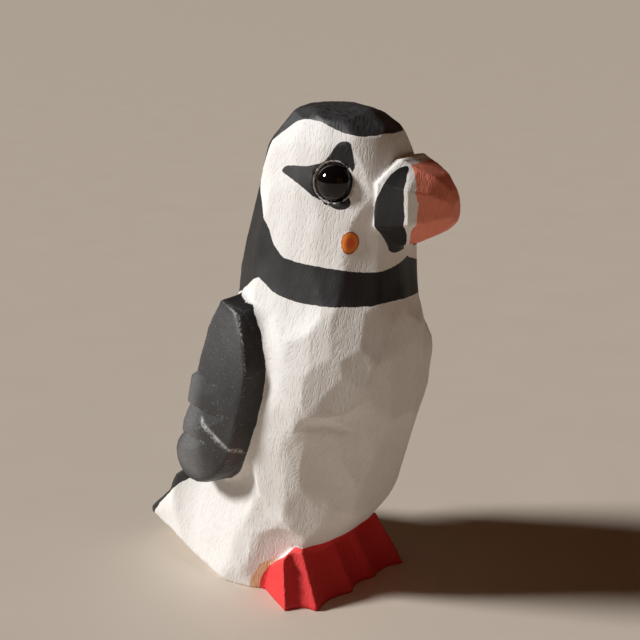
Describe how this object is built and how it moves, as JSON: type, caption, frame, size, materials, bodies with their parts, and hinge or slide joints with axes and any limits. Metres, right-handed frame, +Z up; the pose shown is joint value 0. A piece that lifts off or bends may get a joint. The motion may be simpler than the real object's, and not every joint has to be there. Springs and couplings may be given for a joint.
{
  "type": "wooden puffin figurine",
  "caption": "Small whittled puffin figurine that stands on its own feet, hand painted in black, white and red, with black glass bead eyes.",
  "frame": {"origin": "middle of the feet on the flat underside that rests on the table", "axes": "+Z up to the crown, -Y forward the way the bird faces, -X towards its right wing"},
  "size_m": [0.0356, 0.0579, 0.081],
  "materials": {
    "painted_wood": "matte acrylic paint over knife-cut wood",
    "black_glass": "polished black glass"
  },
  "bodies": {
    "root": {"puffin_body": "painted_wood", "left_eye": "black_glass", "right_eye": "black_glass"}
  },
  "joints": []
}
